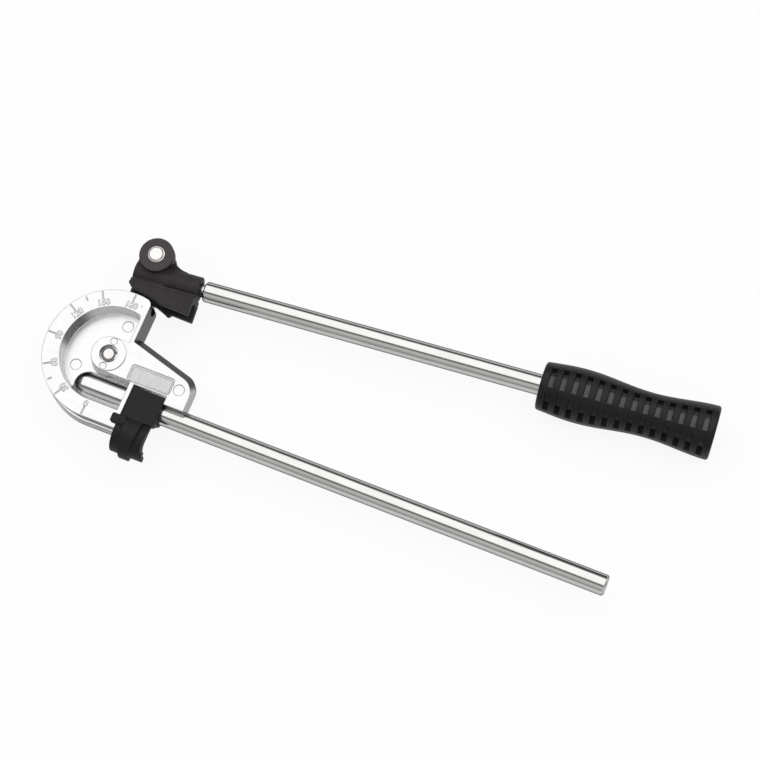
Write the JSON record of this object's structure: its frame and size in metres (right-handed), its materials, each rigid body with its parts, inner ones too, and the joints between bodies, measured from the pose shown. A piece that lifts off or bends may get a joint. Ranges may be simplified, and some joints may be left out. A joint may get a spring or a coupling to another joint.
{
  "type": "hand tube bender",
  "caption": "Hand tube bender: cast former with grooved rim and bend scale on a steel bar, a swinging lever with a grooved shoe and rubber grip, and a plastic hook that holds the tube.",
  "frame": {"origin": "the bend axis, in the middle plane of the tube groove", "axes": "+X along the fixed bar towards its free end, +Y towards the lever side, +Z out of the scale face"},
  "size_m": [0.4354, 0.1737, 0.0364],
  "materials": {
    "casting": "bright polished die casting",
    "bright_bar": "bright drawn and plated",
    "link_steel": "zinc plated",
    "pin_steel": "turned",
    "dark_steel": "oil blackened",
    "rivet_steel": "bright plated",
    "black_plastic": "matt moulded",
    "grip_rubber": "satin moulded"
  },
  "bodies": {
    "former": {"former": "casting", "fixed_bar": "bright_bar", "bar_pin": "pin_steel"},
    "hook": {"tube_hook": "black_plastic"},
    "link": {"link_plate": "link_steel", "pivot_pin": "pin_steel", "retaining_ring": "dark_steel", "ring_washer": "pin_steel", "link_washer": "pin_steel", "link_rivet": "rivet_steel", "eye_washer": "pin_steel"},
    "lever": {"lever_head": "black_plastic", "spigot_sleeve": "pin_steel", "lever_bar": "bright_bar", "spigot_pin": "pin_steel", "grip": "grip_rubber"}
  },
  "joints": [
    {"name": "link_swing", "type": "hinge", "parent": "former", "child": "link", "pos_m": [0, 0, 0], "axis": [0, 0, 1], "range_deg": [-5, 175]},
    {"name": "lever_fold", "type": "hinge", "parent": "link", "child": "lever", "pos_m": [0.00162, 0.07471, 0], "axis": [0, 0, 1], "range_deg": [0, 110]},
    {"name": "hook_swing", "type": "hinge", "parent": "former", "child": "hook", "pos_m": [0.0362, -0.0232, 0], "axis": [-1, 0, 0], "range_deg": [0, 75]}
  ]
}
